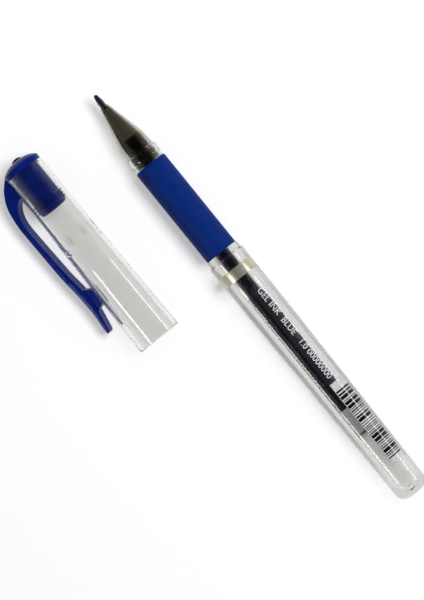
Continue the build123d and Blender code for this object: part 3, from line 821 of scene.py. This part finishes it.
crown = arc_through((0.72, 1.42), (1.25, 3.9), (2.4, 5.66), 12)
snap_rings = []
for crest in (14.43, 15.38, 16.33):
    snap_rings += [(crest - 0.45, 4.3, 0.06), (crest, 5.0, 0.3), (crest + 0.45, 4.3, 0.06)]
dome_outline = crown + [
    (2.55, 5.75, 0.05), (4.0, 5.75, 0.06), (4.0, 4.86), (4.6, 4.86, 0.1), (4.9, 4.3, 0.1), *snap_rings,
    (17.1, 4.3, 0.15), (17.7, 3.8, 0.2), (17.7, 3.5), (17.3, 3.3), (7.2, 3.3), (6.2, 2.22), (2.4, 2.22),
    (2.4, 1.12), (0.8, 1.12), (0.8, 1.42),
]
print("crown from", [round(c, 2) for c in crown[0]], "to", [round(c, 2) for c in crown[-1]])
dome = make_piece("blue_dome", turned(dome_outline, axis=cap_axis), blue_plastic)
seat(dome, "cap", "blue_plastic", "cap_plug")

# %% Seal
seal_outline = [
    (0.0, 0.0), (0.06, 0.7, 0.3), (0.4, 1.4, 0.3), (0.72, 1.68, 0.08), (0.8, 1.4), (0.8, 1.1),
    (2.42, 1.1), (2.42, 2.2, 0.12), (5.0, 2.2, 0.3), (6.0, 1.3, 0.15), (6.0, 0.6), (5.8, 0.3), (5.8, 0.0),
]
seal = make_piece("seal_button", turned(seal_outline, closed=False, axis=cap_axis, around=96), seal_rubber)
seat(seal, "cap", "seal_elastomer", "tip_seal")

# %% [markdown]
# ## Clip
# Clip and dome are one moulding. The clip rises from inside the dome, runs along the tube and ends in a
# turned-up tip. A narrower pad under the arm rests on the tube. Each side view is drawn as an outline,
# filled, and pulled out to its width. Then the arm's rims are rounded, the underside of the root is laid
# on the round tube, and the whole clip is rolled round the cap to the side it lies on. It stays one mesh
# across the place where it leaves the root, instead of being cut there.

# %% Clip
clip_width, clip_tip_width, pad_width, rim_round = 4.4, 3.4, 3.0, 0.42
clip_view = [
    (4.02, 3.0), (1.6, 3.0), (2.1, 4.6, 0.8), (3.3, 6.1, 0.8), (5.0, 7.9, 1.0), (8.8, 10.3, 2.0),
    (15.0, 11.33, 2.5), (34.7, 11.0, 2.0), (39.8, 10.45, 2.0), (47.5, 10.2, 2.0), (52.7, 10.75, 0.8),
    (54.1, 10.6, 0.45), (53.6, 9.75, 0.4), (50.1, 9.05, 1.0), (46.7, 8.4, 1.0), (40.3, 8.3, 2.0),
    (34.7, 9.03, 1.2), (20.0, 9.73, 1.8), (16.2, 9.78, 1.0), (13.6, 9.28, 1.0), (11.4, 8.2, 1.0),
    (9.9, 6.6, 0.9), (9.6, 5.85), (4.02, 5.85),
]
pad_view = [(39.9, 8.7), (41.2, 6.4, 0.4), (46.4, 6.4, 0.4), (47.5, 8.7)]


def pulled_out(outline, width):
    """The outline filled and pulled out to its width, half to each side."""
    work = wire(outline)
    face = bmesh.ops.contextual_create(work, geom=work.edges[:])["faces"]
    bmesh.ops.translate(work, verts=work.verts, vec=(0, -width / 2, 0))
    pulled = bmesh.ops.extrude_face_region(work, geom=face)["geom"]
    moved = [part for part in pulled if isinstance(part, bmesh.types.BMVert)]
    bmesh.ops.translate(work, verts=moved, vec=(0, width, 0))
    bmesh.ops.recalc_face_normals(work, faces=work.faces)
    return work


clip = pulled_out(clip_view, clip_width)
rims = [e for e in clip.edges if abs(e.verts[0].co.y - e.verts[1].co.y) < 0.001]
bmesh.ops.bevel(
    clip, geom=rims, offset=rim_round, offset_type="OFFSET", affect="EDGES", segments=4, profile=0.5,
    material=-1, clamp_overlap=True,
)
across = [e for e in clip.edges if abs(e.verts[0].co.y - e.verts[1].co.y) > clip_width * 0.6]
bmesh.ops.subdivide_edges(clip, edges=across, cuts=7, use_grid_fill=True)
join(clip, pulled_out(pad_view, pad_width))
print("clip", len(clip.verts), "vertices,", len(across), "edges across")

# %% Clip in its place
tube_skin, root_underside = 5.80, 5.85
root_start, root_stop, root_height = 3.9, 9.75, 6.3
taper_from, taper_to, clip_roll = 12.6, 54.8, math.radians(110.0)
for vertex in clip.verts:
    along, side, out = vertex.co
    if root_start < along < root_stop and out < root_height:
        rest = math.sqrt(tube_skin**2 - side**2)
        inside_dome = along <= 4.1 and out <= 5.7
        vertex.co.z = out if inside_dome else max(rest, out - (root_underside - rest))
    taper = max(along - taper_from, 0.0) / (taper_to - taper_from)
    vertex.co.y = side * (1.0 - taper * (1.0 - clip_tip_width / clip_width))
bmesh.ops.rotate(clip, verts=clip.verts, cent=(0, 0, 0), matrix=Matrix.Rotation(clip_roll, 3, "X"))
bmesh.ops.translate(clip, verts=clip.verts, vec=(0.0, *cap_axis))
bmesh.ops.triangulate(clip, faces=[f for f in clip.faces if len(f.verts) > 4])
bmesh.ops.recalc_face_normals(clip, faces=clip.faces)
clip_arm = make_piece("blue_clip", clip, blue_plastic)
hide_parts("clip")
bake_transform(clip_arm)

# %% [markdown]
# ## Check the size
# The looks must not change the object's size, so the box of the loaded parts and the box of the finished
# model are written side by side.

# %% Check the size
bpy.context.view_layer.update()
visual_box = [list(corner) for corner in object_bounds()]
for label, box in (("CAD", cad_box), ("visual", visual_box)):
    print(label, [[round(c / MM, 2) for c in corner] for corner in box])
